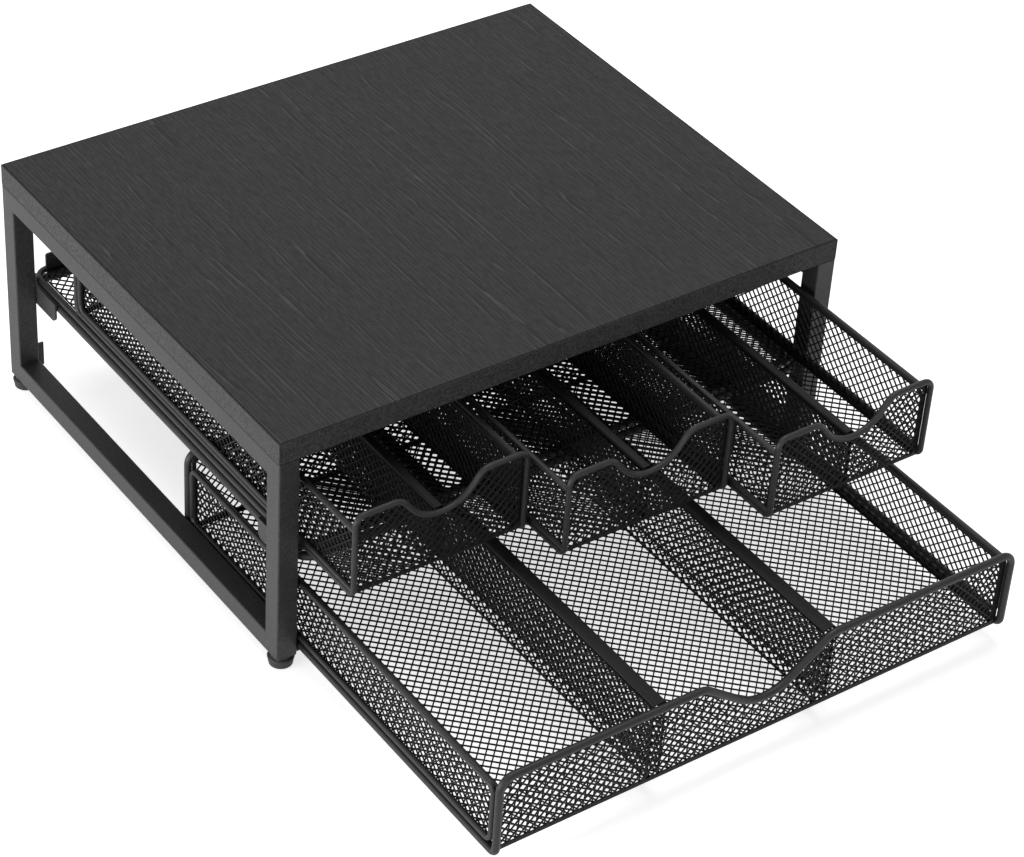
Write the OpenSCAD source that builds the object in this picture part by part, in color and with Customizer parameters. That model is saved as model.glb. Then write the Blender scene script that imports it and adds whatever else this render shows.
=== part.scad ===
// Two-tier coffee pod organiser: a laminated board on two welded tube frames,
// a wire shelf with three narrow mesh drawers, and one wide mesh drawer below.
// Millimetres, +Z up. The origin is on the table, in the middle of what the stand
// covers with its drawers pulled out.

/* [Stand] */
// Width of the board and the stand, left to right
stand_w = 380; // [330:1:456]
// Depth of the board and the stand, front to back
stand_d = 312; // [260:1:375]
// Height of a side frame, without its feet
side_h = 138; // [120:1:170]
// Thickness of the laminated board
board_t = 14; // [9:0.5:20]
// Bevel on the edges of the board
board_bevel = 0.6; // [0.2:0.1:1.5]
// Width of the square tube
tube = 13; // [10:0.2:16]
// Wall of the square tube
tube_wall = 1.2; // [0.8:0.1:1.8]
// Corner radius of the square tube
tube_r = 1; // [0.6:0.1:2.4]
// Height of a rubber foot below the tube
foot_h = 8; // [5:0.5:12]
// Largest diameter of a rubber foot
foot_d = 15.6; // [13:0.1:19]

/* [Shelf] */
// Height of the bracket ledge that carries the shelf, above the frame's bottom
shelf_z = 68; // [57:1:80]
// Diameter of the rod frame under the ledge
rod_d = 5.4; // [4:0.1:6.5]
// Diameter of the wire round the shelf
shelf_wire_d = 4; // [3:0.1:5]
// Corner radius of the shelf, along its wire
shelf_r = 9; // [7:0.5:14]
// Thickness of the bent sheet parts
sheet_t = 1.2; // [0.8:0.1:1.6]
// Length of a bracket along the side
bracket_l = 36; // [24:1:46]
// Height of the side of a bracket
bracket_h = 13.2; // [9:0.1:16]
// Height of the stop behind the upper drawers, above the mesh
stop_h = 11; // [6:0.5:16]

/* [Upper drawers] */
// Diameter of the wire that runs round an upper drawer
upper_wire_d = 3.5; // [2.8:0.1:4.5]
// Diameter of the wire that frames each side of an upper drawer
upper_side_d = 3.2; // [2.4:0.1:4]
// Gap above the closed upper drawers, under the board
upper_headroom = 8.4; // [6:0.2:16]
// How far the left drawer is pulled out
left_pull = 47; // [0:1:240]
// How far the middle drawer is pulled out
middle_pull = 77; // [0:1:240]
// How far the right drawer is pulled out
right_pull = 110; // [0:1:240]
// Width of the finger scoop in an upper front
upper_scoop_w = 62; // [48:1:68]
// Depth of the finger scoop in an upper front
upper_scoop_deep = 18.5; // [15:0.5:22.5]
// Width of the folded cap of an upper divider
upper_cap_w = 5.6; // [4:0.2:8]

/* [Lower drawer] */
// Diameter of the wire that runs round the lower drawer
lower_wire_d = 4.5; // [3.6:0.1:5.4]
// Diameter of the wire that frames each side of the lower drawer
lower_side_d = 3.6; // [3:0.1:4.4]
// How far the lower drawer is pulled out
lower_pull = 182; // [0:1:240]
// Width of the left compartment
left_bay_w = 104; // [80:1:125]
// Width of the middle compartment
middle_bay_w = 115; // [90:1:138]
// Width of the finger scoop in the lower front
lower_scoop_w = 94; // [78:1:104]
// Depth of the finger scoop in the lower front
lower_scoop_deep = 25; // [20:0.5:30]
// Width of the folded cap of a lower divider
lower_cap_w = 8.4; // [6:0.2:11]

/* [Mesh] */
// Thickness of the expanded metal
mesh_t = 0.8; // [0.6:0.1:1.2]
// Solid hem round a mesh panel
hem = 2.2; // [1.2:0.1:3]
// Diagonal of a diamond in a drawer front
front_cell = 12; // [6:0.5:24]
// Diagonal of a diamond in a side or rear wall
wall_cell = 19; // [6:0.5:30]
// Diagonal of a diamond in a floor
floor_cell = 28; // [6:0.5:40]
// Width of a strand between two diamonds
strand = 1.5; // [0.8:0.1:2.2]

/* [Hidden] */

frame_black = "#3a3a3c";
wire_black = "#353537";
mesh_black = "#242426";
board_black = "#3e3e40";
rubber_black = "#2a2a2a";
screw_grey = "#5a5a5c";

// Fits and gaps
weld = 0.05;          // between a mesh and the wire that it is welded to
run = 0.35;           // between a sliding wire and its rail
side_gap = 3.5;       // between an upper drawer and the side frame
lane_gap = 3;         // between two upper drawers
stop_gap = 0.45;      // between a closed drawer and its stop
lower_side_gap = 0.35; // between the lower drawer and the side frame
upper_inset = 0.5;    // closed upper front, its wire's middle behind the frame's front
lower_proud = 8;      // closed lower front, its wire's middle before the frame's front
rod_clear = 1.6;      // between the lower drawer's top and the rods over it

// Finger scoops
scoop_share = 0.72;   // share of the two scoop radii that is in the hollow
steep = 0.28;         // from this depth for its width, a scoop has steep flanks

// Stand
lower_reach = lower_pull + lower_proud + lower_wire_d / 2;
upper_reach = max(left_pull, middle_pull, right_pull) - upper_inset + upper_wire_d / 2;
stand_y = (max(lower_reach, upper_reach) - (foot_d - tube) / 2) / 2;
front_y = stand_y - stand_d / 2;
rear_y = stand_y + stand_d / 2;
post_y = (stand_d - tube) / 2;
side_x = stand_w / 2;
inner_x = side_x - tube;
frame_z = foot_h;
board_z = frame_z + side_h;
rail_l = stand_d - 2 * tube;
stem_d = tube - 2 * tube_wall - 0.4;
stem_l = 9;

// Board screws, up through the top rails
screw_d = 3.8;
screw_hole_d = 4.4;
pilot_d = 4;
screw_head_d = 7.4;
screw_head_h = 2.2;
screw_bite = 9;
screw_count = 3;
screw_edge = 40;

// Shelf
ledge_z = frame_z + shelf_z;
ledge_w = 6.4;
bracket_front_y = front_y + 6.5;
bracket_rear_y = rear_y - 0.5 - bracket_l;
bracket_corner = 4.5;
rod_x = inner_x - sheet_t - rod_d / 2 - 0.1;
rod_z = ledge_z - sheet_t - rod_d / 2 - weld;
rod_end = 3;
rim_x = inner_x - 4.2;
rim_z = ledge_z + weld + shelf_wire_d / 2;
rim_front_y = front_y + 4;
rim_rear_y = rear_y - 0.6 - shelf_wire_d / 2;
mesh_top = rim_z + shelf_wire_d / 2 - 0.15;
stop_y = rim_rear_y - shelf_wire_d / 2 - weld - sheet_t;
stop_flange = 9.6;
stop_clip = 1;
stop_inset = 6.8;

// Upper drawers: middles of the wires
upper_w = (2 * (inner_x - side_gap) - 2 * lane_gap) / 3 - upper_wire_d;
upper_pitch = upper_w + upper_wire_d + lane_gap;
upper_z = rim_z + shelf_wire_d / 2 + run + upper_wire_d / 2;
upper_h = board_z - upper_headroom - upper_wire_d / 2 - upper_z;
upper_l = stop_y - stop_gap - upper_wire_d / 2 - (front_y + upper_inset);
upper_side_drop = 9.5;
upper_r = 6;
upper_scoop = scoop(upper_scoop_w, upper_scoop_deep);

// Lower drawer and its rails
ledge_top = frame_z + 2.5;
rail_t = 1.4;
rail_w = 5.6;
lower_x = inner_x - lower_side_gap - lower_wire_d / 2;
lower_w = 2 * lower_x;
lower_z = ledge_top + run + lower_wire_d / 2;
lower_side_z = lower_z + lower_wire_d / 2 + lower_side_d / 2 + 1.5;
lower_top = rod_z - rod_d / 2 - rod_clear - lower_wire_d / 2;
lower_h = lower_top - lower_z;
tab_y = rear_y - 4;
tab_w = 7.8;
tab_h = 16.4;
lower_l = tab_y - stop_gap - lower_wire_d / 2 - (front_y - lower_proud);
lower_side_drop = 8.4;
lower_r = 8;
lower_scoop = scoop(lower_scoop_w, lower_scoop_deep);

// Each upper drawer's place: [middle x, front wire y]
left_at = [-upper_pitch, front_y + upper_inset - left_pull];
middle_at = [0, front_y + upper_inset - middle_pull];
right_at = [upper_pitch, front_y + upper_inset - right_pull];
lower_y = front_y - lower_proud - lower_pull;
left_divider_x = -lower_x + left_bay_w;
right_divider_x = left_divider_x + middle_bay_w;

// ---- finger scoop: two round shoulders, two straight flanks, one round hollow
// [half its width, its depth, the angle of its flanks]

function scoop(w, deep) = [w / 2, deep, deep / w > steep ? acos(0.6) : acos(0.8)];
function radii(s) = (s[0] * sin(s[2]) - s[1] * cos(s[2])) / (1 - cos(s[2]));
function flank(s) = (s[1] * sin(s[2]) - s[0] * (1 - cos(s[2]))) / (1 - cos(s[2]));
function hollow_r(s) = radii(s) * scoop_share;
function shoulder_r(s) = radii(s) * (1 - scoop_share);
function hollow_end(s) = hollow_r(s) * sin(s[2]);
function flank_end(s) = hollow_end(s) + flank(s) * cos(s[2]);

// How far the rim drops at distance x from the middle of the scoop
function drop(x, s) =
  len(s) == 0 || abs(x) >= s[0] ? 0
  : abs(x) <= hollow_end(s) ? s[1] - hollow_r(s) + sqrt(pow(hollow_r(s), 2) - x * x)
  : abs(x) <= flank_end(s)
    ? s[1] - hollow_r(s) * (1 - cos(s[2])) - (abs(x) - hollow_end(s)) * tan(s[2])
  : shoulder_r(s) - sqrt(pow(shoulder_r(s), 2) - pow(s[0] - abs(x), 2));

// How far a round corner of radius r cuts the rim at distance x from the middle
function corner(x, w, r) =
  abs(x) <= w / 2 - r ? 0 : r - sqrt(max(0, r * r - pow(abs(x) - w / 2 + r, 2)));

function rim_height(x, w, h, r, s) = h - max(drop(x, s), corner(x, w, r));

// ---- bent wire: straight runs and round bends, one after the other
// ["line", length] or ["bend", radius, angle, turn about the wire]

// A bend from [-r, 0, 0], where the wire points up, that leans towards +X by the angle
module bend(d, r, angle) {
  far = 100;
  rotate([90, 0, 0])
    intersection() {
      rotate_extrude($fn = 64)
        translate([r, 0])
          circle(d = d, $fn = 32);
      translate([0, 0, -d])
        linear_extrude(2 * d)
          polygon([[0, 0], [-far, 0], [-far * cos(angle), far * sin(angle)]]);
    }
}

module bent_wire(d, path, i = 0) {
  if (i < len(path)) {
    step = path[i];
    if (step[0] == "line") {
      cylinder(d = d, h = step[1], $fn = 32);
      translate([0, 0, step[1]])
        bent_wire(d, path, i + 1);
    } else {
      rotate([0, 0, step[3]])
        translate([step[1], 0, 0]) {
          bend(d, step[1], step[2]);
          rotate([0, step[2], 0])
            translate([-step[1], 0, 0])
              rotate([0, 0, -step[3]])
                bent_wire(d, path, i + 1);
        }
    }
  }
}

// The top of an arch, from corner to corner
function top_run(w, r, s) =
  len(s) == 0
    ? [["line", w - 2 * r]]
    : let (shoulder = w / 2 - r - s[0])
      [["line", shoulder], ["bend", shoulder_r(s), s[2], 0], ["line", flank(s)],
       ["bend", hollow_r(s), s[2], 180], ["bend", hollow_r(s), s[2], 180], ["line", flank(s)],
       ["bend", shoulder_r(s), s[2], 0], ["line", shoulder]];

// Half of the wire round a drawer: half a runner, an arch and half a runner
function half_loop(w, l, h, r, foot, s) = concat(
  [["line", l / 2 - foot], ["bend", foot, 90, 90], ["line", h - foot - r], ["bend", r, 90, 0]],
  top_run(w, r, s),
  [["bend", r, 90, 0], ["line", h - foot - r], ["bend", foot, 90, 90], ["line", l / 2 - foot]]);

// One wire that is both runners, the scooped front arch and the rear arch
module drawer_wire(w, l, h, d, r, s) {
  foot = 4.5;
  color(wire_black)
    translate([-w / 2, l / 2, 0])
      rotate([90, 0, 0])
        bent_wire(d, concat(half_loop(w, l, h, r, foot, s), half_loop(w, l, h, r, foot, [])));
}

// A closed, rounded rectangle of wire in the Y-Z plane, its low front corner at [y, z]
module wire_rectangle(d, y, z, l, h, r) {
  side = [["line", h - 2 * r], ["bend", r, 90, 0]];
  along = [["line", l - 2 * r], ["bend", r, 90, 0]];
  color(wire_black)
    translate([0, y, z + r])
      rotate([0, 0, 90])
        bent_wire(d, concat(side, along, side, along));
}

// ---- expanded metal ------------------------------------------------------------

module diamond(across, up) {
  x = across - strand / sqrt(2);
  z = up - strand / sqrt(2);
  polygon([[x, 0], [0, z], [-x, 0], [0, -z]]);
}

// Rows of diamonds, each second row shifted by half a cell, that fill a rectangle to
// its hem. The rectangle's top edge may have round corners and a scoop.
module diamonds(w, low, high, cell, r = 0, s = []) {
  columns = round((w - 2 * hem) / cell);
  rows = max(2, round(2 * (high - low - 2 * hem) / cell));
  across = (w / 2 - hem) / columns;
  up = (high - low - 2 * hem) / rows;
  for (i = [1 - columns:columns - 1])
    for (j = [1:rows - 1])
      if ((i + j) % 2 == 0) {
        x = i * across;
        z = low + hem + j * up;
        top = min(rim_height(x, w, high, r, s),
                  rim_height(abs(x) - across / 2, w, high, r, s) + up / 2,
                  rim_height(abs(x) + across / 2, w, high, r, s) + up / 2);
        if (z + up <= top - hem + 0.01)
          translate([x, z])
            diamond(across, up);
      }
}

// An upright panel across a drawer, its front face at y - mesh_t, with its low
// corners notched round the runners of diameter d
module cross_mesh(w, d, low, high, cell, y, r, s = []) {
  steps = 2 * ceil(w / 4);
  inside = w / 2 - d / 2 - weld;
  notch = d / 2 + 1.5;
  rim = [for (k = [0:steps]) let (x = w / 2 - k * w / steps) [x, rim_height(x, w, high, r, s)]];
  color(mesh_black)
    translate([0, y, 0])
      rotate([90, 0, 0])
        linear_extrude(mesh_t)
          difference() {
            polygon(concat([[-w / 2, notch], [-inside, notch], [-inside, low],
                            [inside, low], [inside, notch], [w / 2, notch]], rim));
            diamonds(w, low, high, cell, r, s);
          }
}

// An upright panel along a drawer, its left face at x
module side_mesh(x, y, l, low, high, cell, r) {
  steps = 2 * ceil(l / 8);
  rim = [for (k = [0:steps]) let (u = l / 2 - k * l / steps) [u, rim_height(u, l, high, r, [])]];
  color(mesh_black)
    translate([x, y + l / 2, 0])
      rotate([90, 0, 90])
        linear_extrude(mesh_t)
          difference() {
            polygon(concat([[-l / 2, low], [l / 2, low]], rim));
            diamonds(l, low, high, cell);
          }
}

// A flat panel, w by l, with its low front edge at y and its underside at z
module flat_mesh(w, l, y, z, cell) {
  color(mesh_black)
    translate([0, y, z])
      linear_extrude(mesh_t)
        difference() {
          translate([-w / 2, 0])
            square([w, l]);
          rotate([0, 0, 90])
            translate([l / 2, 0])
              diamonds(l, -w / 2, w / 2, cell);
        }
}

// Two mesh walls folded down from a flat cap
module folded_divider(x, y, l, low, high, cap, cell) {
  color(mesh_black)
    translate([x, y, low])
      difference() {
        translate([-cap / 2, 0, 0])
          cube([cap, l, high - low]);
        translate([-cap / 2 + mesh_t, -1, -1])
          cube([cap - 2 * mesh_t, l + 2, high - low - mesh_t + 1]);
        translate([-cap / 2 - 1, l / 2, 0])
          rotate([90, 0, 90])
            linear_extrude(cap + 2)
              diamonds(l, 0, high - low, cell);
      }
}

// ---- a drawer's parts in its own frame: x from its middle, y from the middle of
// its front wire, z from the middle of its runners

module drawer_side_wire(w, l, h, d, side_d, side_z, drop_z, left) {
  y = d / 2 + 2 * weld + mesh_t + side_d / 2;
  translate([left ? -w / 2 : w / 2, 0, 0])
    wire_rectangle(side_d, y, side_z, l - 2 * y, h - drop_z - side_z, 5);
}

module drawer_front(w, h, d, r, s, cell) {
  cross_mesh(w, d, -mesh_t, h, cell, d / 2 + weld + mesh_t, r, s);
}

module drawer_rear(w, l, h, d, r, cell) {
  cross_mesh(w, d, -mesh_t, h, cell, l - d / 2 - weld, r);
}

module drawer_side(w, l, h, d, drop_z, cell, left) {
  x = w / 2 - d / 2 - weld;
  y = d / 2 + weld + mesh_t;
  side_mesh(left ? -x : x - mesh_t, y, l - 2 * y, 0, h - drop_z, cell, 5);
}

module drawer_floor(w, l, d, cell) {
  y = d / 2 + weld + mesh_t;
  flat_mesh(w - d - 2 * weld, l - 2 * y, y, -mesh_t, cell);
}

module drawer_divider(x, l, d, high, cap, cell) {
  y = d / 2 + 2 * weld + mesh_t;
  folded_divider(x, y, l - 2 * y, weld, high, cap, cell);
}

// ---- stand ---------------------------------------------------------------------

module bevelled_square(w, h, bevel) {
  polygon([[bevel, 0], [w - bevel, 0], [w, bevel], [w, h - bevel],
           [w - bevel, h], [bevel, h], [0, h - bevel], [0, bevel]]);
}

function screw_y(k) = front_y + screw_edge + k * (stand_d - 2 * screw_edge) / (screw_count - 1);

module at_screws() {
  for (side = [-1, 1])
    for (k = [0:screw_count - 1])
      translate([side * (side_x - tube / 2), screw_y(k), 0])
        children();
}

module top_board() {
  color(board_black)
    difference() {
      intersection() {
        translate([-side_x, rear_y, board_z])
          rotate([90, 0, 0])
            linear_extrude(stand_d)
              bevelled_square(stand_w, board_t, board_bevel);
        translate([-side_x, front_y, board_z])
          rotate([90, 0, 90])
            linear_extrude(stand_w)
              bevelled_square(stand_d, board_t, board_bevel);
      }
      at_screws()
        translate([0, 0, board_z - 1])
          cylinder(d = pilot_d, h = screw_bite + 2, $fn = 32);
    }
}

module board_screws() {
  color(screw_grey)
    at_screws() {
      translate([0, 0, board_z - tube])
        cylinder(d = screw_d, h = tube + screw_bite, $fn = 32);
      translate([0, 0, board_z - tube - screw_head_h])
        cylinder(d1 = screw_head_d - 2, d2 = screw_head_d, h = screw_head_h, $fn = 32);
    }
}

module rounded_square(s, r) {
  square([s - 2 * r, s], center = true);
  square([s, s - 2 * r], center = true);
  for (x = [-1, 1])
    for (y = [-1, 1])
      translate([x * (s / 2 - r), y * (s / 2 - r)])
        circle(r = r, $fn = 24);
}

module tube_section() {
  difference() {
    rounded_square(tube, tube_r);
    rounded_square(tube - 2 * tube_wall, max(tube_r - tube_wall, 0.3));
  }
}

// side is -1 for the left frame and 1 for the right one, end -1 at the front
module post(side, end) {
  color(frame_black)
    translate([side * (side_x - tube / 2), stand_y + end * post_y, frame_z])
      linear_extrude(side_h)
        tube_section();
}

module rail(side, z) {
  color(frame_black)
    translate([side * (side_x - tube / 2), stand_y + rail_l / 2, z + tube / 2])
      rotate([90, 0, 0])
        linear_extrude(rail_l)
          tube_section();
}

module top_rail(side) {
  difference() {
    rail(side, board_z - tube);
    at_screws()
      translate([0, 0, board_z - tube - 1])
        cylinder(d = screw_hole_d, h = tube + 2, $fn = 32);
  }
}

// A stem in the tube, a recessed neck and a tapered pad
module rubber_foot() {
  rotate_extrude($fn = 48)
    polygon([[0, 0], [foot_d / 2 - 1.9, 0], [foot_d / 2 - 0.9, 0.9], [foot_d / 2, foot_h - 2.4],
             [foot_d / 2 - 0.5, foot_h - 1.6], [foot_d / 2 - 1.7, foot_h - 1.3],
             [foot_d / 2 - 1.7, foot_h], [stem_d / 2, foot_h], [stem_d / 2, foot_h + stem_l - 1],
             [stem_d / 2 - 1, foot_h + stem_l], [0, foot_h + stem_l]]);
}

module rubber_feet() {
  color(rubber_black)
    for (side = [-1, 1])
      for (end = [-1, 1])
        translate([side * (side_x - tube / 2), stand_y + end * post_y, 0])
          rubber_foot();
}

// ---- rails and brackets on the inner faces of the frames, drawn for the right
// side and mirrored for the left

module on_side(side) {
  mirror([side < 0 ? 1 : 0, 0, 0])
    children();
}

// A flat ledge under the runner, with a turned-up tab at the rear that stops the drawer
module drawer_rail(side) {
  low = ledge_top - rail_t;
  color(frame_black)
    on_side(side)
      union() {
        translate([inner_x - rail_w, front_y + 1, low])
          cube([rail_w, tab_y - front_y - 1, rail_t]);
        translate([inner_x - tab_w, tab_y, low])
          cube([tab_w, rail_t, tab_h]);
      }
}

// An angle with a ledge on top and one round lower corner, at the end away from
// its post
module bracket(side, y, front) {
  color(frame_black)
    on_side(side)
      translate([inner_x, front ? y : y + bracket_l, ledge_z])
        mirror([0, front ? 0 : 1, 0])
          union() {
            translate([-ledge_w, 0, -sheet_t])
              cube([ledge_w, bracket_l, sheet_t]);
            translate([-sheet_t, 0, 0])
              rotate([90, 0, 90])
                linear_extrude(sheet_t)
                  union() {
                    translate([0, -bracket_h])
                      square([bracket_l - bracket_corner, bracket_h - sheet_t]);
                    translate([0, bracket_corner - bracket_h])
                      square([bracket_l, bracket_h - bracket_corner - sheet_t]);
                    translate([bracket_l - bracket_corner, bracket_corner - bracket_h])
                      circle(r = bracket_corner, $fn = 32);
                  }
          }
}

// A closed, rounded rectangle of wire lying flat, x half-width, front and rear y
module flat_loop(d, x, y0, y1, z, r) {
  along = [["line", y1 - y0 - 2 * r], ["bend", r, 90, 0]];
  across = [["line", 2 * x - 2 * r], ["bend", r, 90, 0]];
  translate([-x, y0 + r, z])
    rotate([-90, 0, 0])
      bent_wire(d, concat(along, across, along, across));
}

module shelf_rod_frame() {
  color(wire_black)
    flat_loop(rod_d, rod_x, front_y + rod_end, rear_y - rod_end, rod_z, shelf_r + 1);
}

module shelf_wire_rim() {
  color(wire_black)
    flat_loop(shelf_wire_d, rim_x, rim_front_y, rim_rear_y, rim_z, shelf_r);
}

module shelf_mesh() {
  lift = mesh_top - mesh_t - rim_z;
  edge = sqrt(pow(shelf_wire_d / 2, 2) - lift * lift) + weld;
  w = 2 * (rim_x - edge);
  y0 = rim_front_y + edge;
  y1 = stop_y - weld;
  difference() {
    flat_mesh(w, y1 - y0, y0, mesh_top - mesh_t, floor_cell);
    for (x = [-1, 1])
      for (y = [y0, y1])
        translate([x * w / 2, y, mesh_top])
          rotate([0, 0, 45])
            cube([shelf_r * 1.2, shelf_r * 1.2, 4], center = true);
  }
}

// A flange under the mesh and an upright with clipped corners behind the drawers
module shelf_stop_angle() {
  half = rim_x - stop_inset;
  top = mesh_top + stop_h;
  low = mesh_top - mesh_t - weld - sheet_t;
  color(frame_black)
    union() {
      translate([-half, stop_y - stop_flange, low])
        cube([2 * half, stop_flange, sheet_t]);
      translate([0, stop_y + sheet_t, 0])
        rotate([90, 0, 0])
          linear_extrude(sheet_t)
            polygon([[-half, low], [half, low], [half, top - stop_clip], [half - stop_clip, top],
                     [stop_clip - half, top], [-half, top - stop_clip]]);
    }
}

// ---- upper drawers, at = [middle x, front wire y] --------------------------------

module upper(at) {
  translate([at[0], at[1], upper_z])
    children();
}

upper_side_z = upper_wire_d / 2 + upper_side_d / 2 + 0.5;

module upper_wire(at) {
  upper(at)
    drawer_wire(upper_w, upper_l, upper_h, upper_wire_d, upper_r, upper_scoop);
}

module upper_side_wires(at) {
  upper(at)
    for (left = [true, false])
      drawer_side_wire(upper_w, upper_l, upper_h, upper_wire_d, upper_side_d,
                       upper_side_z, upper_side_drop, left);
}

module upper_front(at) {
  upper(at)
    drawer_front(upper_w, upper_h, upper_wire_d, upper_r, upper_scoop, front_cell);
}

module upper_rear(at) {
  upper(at)
    drawer_rear(upper_w, upper_l, upper_h, upper_wire_d, upper_r, wall_cell);
}

module upper_side(at, left) {
  upper(at)
    drawer_side(upper_w, upper_l, upper_h, upper_wire_d, upper_side_drop, wall_cell, left);
}

module upper_floor(at) {
  upper(at)
    drawer_floor(upper_w, upper_l, upper_wire_d, floor_cell);
}

module upper_divider(at) {
  upper(at)
    drawer_divider(0, upper_l, upper_wire_d, upper_h - upper_scoop_deep + upper_wire_d / 2,
                   upper_cap_w, wall_cell);
}

// ---- lower drawer ----------------------------------------------------------------

module lower() {
  translate([0, lower_y, lower_z])
    children();
}

module lower_side_wire(left) {
  lower()
    drawer_side_wire(lower_w, lower_l, lower_h, lower_wire_d, lower_side_d,
                     lower_side_z - lower_z, lower_side_drop, left);
}

module lower_side(left) {
  lower()
    drawer_side(lower_w, lower_l, lower_h, lower_wire_d, lower_side_drop, wall_cell, left);
}

module lower_divider(x) {
  lower()
    drawer_divider(x, lower_l, lower_wire_d, lower_h + lower_wire_d / 2 - 1.2,
                   lower_cap_w, wall_cell);
}

// ---- nodes -----------------------------------------------------------------------

top_board();
board_screws();
rubber_feet();
post(-1, -1);  // left_front_post
post(-1, 1);  // left_rear_post
top_rail(-1);  // left_top_rail
rail(-1, frame_z);  // left_bottom_rail
post(1, -1);  // right_front_post
post(1, 1);  // right_rear_post
top_rail(1);  // right_top_rail
rail(1, frame_z);  // right_bottom_rail
drawer_rail(-1);  // left_drawer_rail
drawer_rail(1);  // right_drawer_rail
bracket(-1, bracket_front_y, true);  // left_front_bracket
bracket(-1, bracket_rear_y, false);  // left_rear_bracket
bracket(1, bracket_front_y, true);  // right_front_bracket
bracket(1, bracket_rear_y, false);  // right_rear_bracket
shelf_rod_frame();
shelf_wire_rim();
shelf_mesh();
shelf_stop_angle();

upper_wire(left_at);  // left_drawer_wire
upper_side_wires(left_at);  // left_drawer_side_wires
upper_front(left_at);  // left_drawer_front_mesh
upper_rear(left_at);  // left_drawer_rear_mesh
upper_side(left_at, true);  // left_drawer_left_mesh
upper_side(left_at, false);  // left_drawer_right_mesh
upper_floor(left_at);  // left_drawer_floor
upper_divider(left_at);  // left_drawer_divider

upper_wire(middle_at);  // middle_drawer_wire
upper_side_wires(middle_at);  // middle_drawer_side_wires
upper_front(middle_at);  // middle_drawer_front_mesh
upper_rear(middle_at);  // middle_drawer_rear_mesh
upper_side(middle_at, true);  // middle_drawer_left_mesh
upper_side(middle_at, false);  // middle_drawer_right_mesh
upper_floor(middle_at);  // middle_drawer_floor
upper_divider(middle_at);  // middle_drawer_divider

upper_wire(right_at);  // right_drawer_wire
upper_side_wires(right_at);  // right_drawer_side_wires
upper_front(right_at);  // right_drawer_front_mesh
upper_rear(right_at);  // right_drawer_rear_mesh
upper_side(right_at, true);  // right_drawer_left_mesh
upper_side(right_at, false);  // right_drawer_right_mesh
upper_floor(right_at);  // right_drawer_floor
upper_divider(right_at);  // right_drawer_divider

lower() drawer_wire(lower_w, lower_l, lower_h, lower_wire_d, lower_r, lower_scoop);  // lower_drawer_wire
lower_side_wire(true);  // lower_drawer_left_wire
lower_side_wire(false);  // lower_drawer_right_wire
lower() drawer_front(lower_w, lower_h, lower_wire_d, lower_r, lower_scoop, front_cell + 4);  // lower_drawer_front_mesh
lower() drawer_rear(lower_w, lower_l, lower_h, lower_wire_d, lower_r, wall_cell);  // lower_drawer_rear_mesh
lower_side(true);  // lower_drawer_left_mesh
lower_side(false);  // lower_drawer_right_mesh
lower() drawer_floor(lower_w, lower_l, lower_wire_d, floor_cell);  // lower_drawer_floor
lower_divider(left_divider_x);  // lower_left_divider
lower_divider(right_divider_x);  // lower_right_divider
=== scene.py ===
# %% [markdown]
# # A two-tier pod drawer in Blender
# The stand is a laminated board on two side frames of square tube. Three narrow mesh
# drawers ride on a wire shelf, and one wide drawer runs in rails below it. All of it is
# steel under black powder coat, apart from the board, the rubber feet and the screws.
# The CAD model already holds every size, so this script reads places from it and gives
# each piece its surface and its fine detail. First the model is loaded.

# %% Load the frame
import math

import bmesh
import bpy
from mathutils import Matrix, Vector


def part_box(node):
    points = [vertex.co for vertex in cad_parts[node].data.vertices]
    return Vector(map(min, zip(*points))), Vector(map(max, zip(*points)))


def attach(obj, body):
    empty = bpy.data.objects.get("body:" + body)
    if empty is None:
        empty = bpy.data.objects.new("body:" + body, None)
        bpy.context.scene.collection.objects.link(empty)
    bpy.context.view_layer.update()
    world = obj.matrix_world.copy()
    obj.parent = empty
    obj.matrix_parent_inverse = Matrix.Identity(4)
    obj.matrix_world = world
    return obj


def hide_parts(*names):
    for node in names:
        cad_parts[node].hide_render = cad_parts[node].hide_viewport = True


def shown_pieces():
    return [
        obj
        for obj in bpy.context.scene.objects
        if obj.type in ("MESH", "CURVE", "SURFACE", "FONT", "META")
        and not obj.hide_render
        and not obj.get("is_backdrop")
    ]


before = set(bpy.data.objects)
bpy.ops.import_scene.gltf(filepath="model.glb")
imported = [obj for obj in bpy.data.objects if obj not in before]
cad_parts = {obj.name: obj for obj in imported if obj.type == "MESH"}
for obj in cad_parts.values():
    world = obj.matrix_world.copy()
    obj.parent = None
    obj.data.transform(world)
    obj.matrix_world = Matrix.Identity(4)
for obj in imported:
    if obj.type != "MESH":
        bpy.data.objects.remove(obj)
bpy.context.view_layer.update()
MM = 0.001

# %% [markdown]
# ## The camera
# A long lens flattens the view, as for a catalogue picture: the edges of the board stay
# nearly parallel. Its place is given as a point and three angles. Building the matrix
# from the three axes of the camera leaves no doubt about the order of the turns.

# %% Camera
def aim(place, azimuth, elevation, roll):
    """A camera matrix: azimuth 0 looks along +Y, and roll turns the picture."""
    a, e, r = map(math.radians, (azimuth, elevation, roll))
    ahead = Vector((math.sin(a) * math.cos(e), math.cos(a) * math.cos(e), -math.sin(e)))
    right = Vector((math.cos(a), -math.sin(a), 0))
    up = right.cross(ahead)
    side = right * math.cos(r) + up * math.sin(r)
    top = up * math.cos(r) - right * math.sin(r)
    turn = Matrix((side, top, -ahead)).transposed().to_4x4()
    return Matrix.Translation(place) @ turn


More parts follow.
